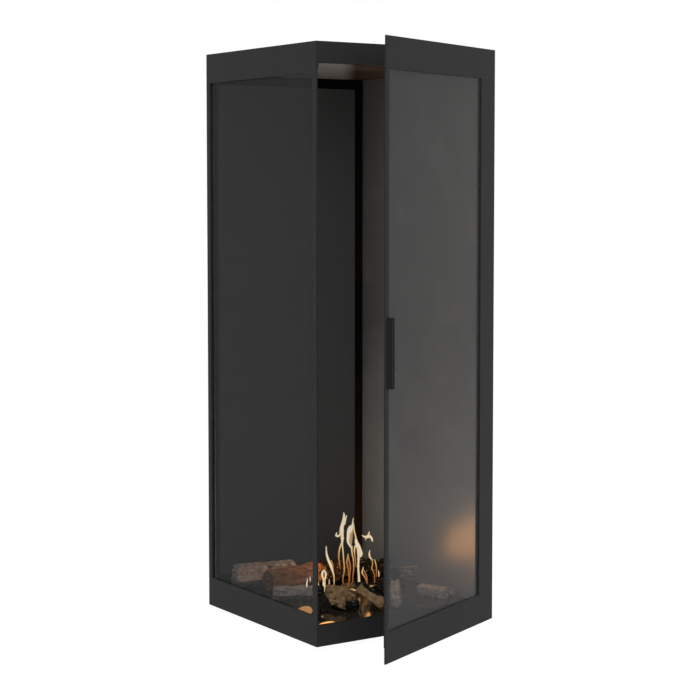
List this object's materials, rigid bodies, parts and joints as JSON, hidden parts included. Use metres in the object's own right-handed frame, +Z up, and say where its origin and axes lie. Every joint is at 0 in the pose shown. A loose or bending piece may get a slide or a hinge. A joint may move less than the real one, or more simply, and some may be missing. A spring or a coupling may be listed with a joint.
{
  "type": "bioethanol corner fireplace",
  "caption": "Tall corner fireplace with a fixed side window and a full-height hinged glass door, with a slot burner and its sliding shutter in a ring of ceramic logs.",
  "frame": {"origin": "middle of the cabinet's footprint, on the floor under the plinth", "axes": "+Z up, -Y out of the door side, -X out of the fixed side window, +Y to the rear wall"},
  "size_m": [0.5, 0.7203, 1.372],
  "materials": {
    "black_steel": "fine matt powder coat",
    "dark_steel": "blackened",
    "handle_bar": "black anodised, satin",
    "firebox_steel": "satin heat-proof black",
    "gloss_steel": "glossy black",
    "black_liner": "smooth black",
    "clear_glass": "polished",
    "gasket": "matt",
    "stainless": "brushed",
    "ceramic_wool": "fibrous",
    "log_bark": "rough bark",
    "log_split": "split grain",
    "log_charred": "charred"
  },
  "bodies": {
    "cabinet": {"base_plinth": "black_steel", "base_panel": "black_steel", "rear_casing": "black_steel", "right_casing": "black_steel", "top_panel": "black_steel", "side_window_frame": "black_steel", "front_header": "black_steel", "front_sill": "black_steel", "hinge_jamb": "black_steel", "side_glass": "clear_glass", "side_glass_seal": "gasket", "side_glass_rail_top": "dark_steel", "side_glass_rail_bottom": "dark_steel", "side_glass_rail_rear": "dark_steel", "firebox_rear_wall": "firebox_steel", "firebox_right_wall": "firebox_steel", "firebox_ceiling": "gloss_steel", "rear_liner": "black_liner", "liner_rail": "black_steel", "liner_spacer_left": "black_steel", "liner_spacer_right": "black_steel", "hearth_plate": "gloss_steel", "hearth_bearer_front": "black_steel", "hearth_bearer_rear": "black_steel", "burner_tank": "stainless", "burner_wool": "ceramic_wool", "burner_cover": "stainless", "drip_tray": "stainless", "shutter_guide_left": "stainless", "shutter_guide_right": "stainless", "hinge_bracket_upper": "dark_steel", "hinge_bracket_lower": "dark_steel", "hinge_pin_upper": "stainless", "hinge_pin_lower": "stainless", "log_rear_right": "log_bark", "log_rear_left": "log_bark", "log_left": "log_split", "log_charred_front": "log_charred", "log_split_centre": "log_split", "log_small_charred": "log_charred", "log_right_middle": "log_charred", "log_right_front": "log_split", "log_far_right": "log_bark", "log_behind_flames": "log_bark", "log_diagonal": "log_split", "log_front_lit": "log_split", "log_upper_right": "log_bark"},
    "door": {"door_frame": "black_steel", "door_glass": "clear_glass", "door_glass_seal": "gasket", "door_retainer_top": "dark_steel", "door_retainer_bottom": "dark_steel", "door_retainer_hinge_side": "dark_steel", "door_seal": "gasket", "door_handle": "handle_bar", "handle_screw_upper": "dark_steel", "handle_screw_lower": "dark_steel", "hinge_knuckle_upper": "dark_steel", "hinge_knuckle_lower": "dark_steel"},
    "shutter": {"burner_shutter": "stainless"}
  },
  "joints": [
    {"name": "door_hinge", "type": "hinge", "parent": "cabinet", "child": "door", "pos_m": [0.239, -0.2485, 0.012], "axis": [0, 0, 1], "range_deg": [-24.3, 75.7]},
    {"name": "shutter_slide", "type": "slide", "parent": "cabinet", "child": "shutter", "axis": [0, -1, 0], "range_m": [0, 0.042]}
  ]
}
